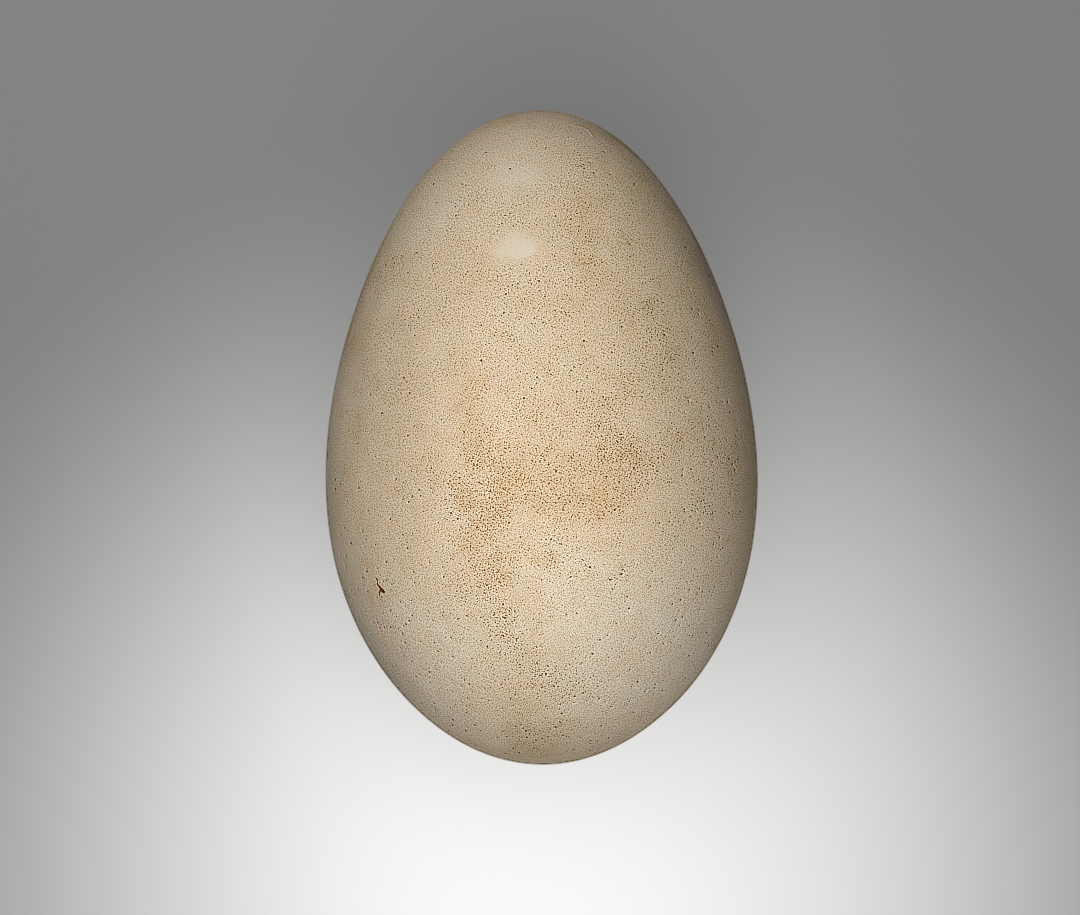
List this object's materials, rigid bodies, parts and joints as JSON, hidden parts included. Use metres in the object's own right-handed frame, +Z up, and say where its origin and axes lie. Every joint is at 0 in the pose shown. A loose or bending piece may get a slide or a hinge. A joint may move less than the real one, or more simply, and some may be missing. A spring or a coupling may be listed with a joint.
{
  "type": "stork egg",
  "caption": "Whole stork egg, a long oval narrowing to one end, with a matt cream shell, ochre stains and fine dark pores, lying on its side on a small flat spot.",
  "frame": {"origin": "middle of the small flat spot that the egg rests on, straight below its centre of mass", "axes": "+Z up from the surface it rests on, +Y towards the narrow end, +X across the egg; the long axis dips 6.6 degrees below +Y, as an egg lies on a table"},
  "size_m": [0.0436, 0.0657, 0.0437],
  "materials": {
    "eggshell": "matte"
  },
  "bodies": {
    "root": {"egg": "eggshell"}
  },
  "joints": []
}
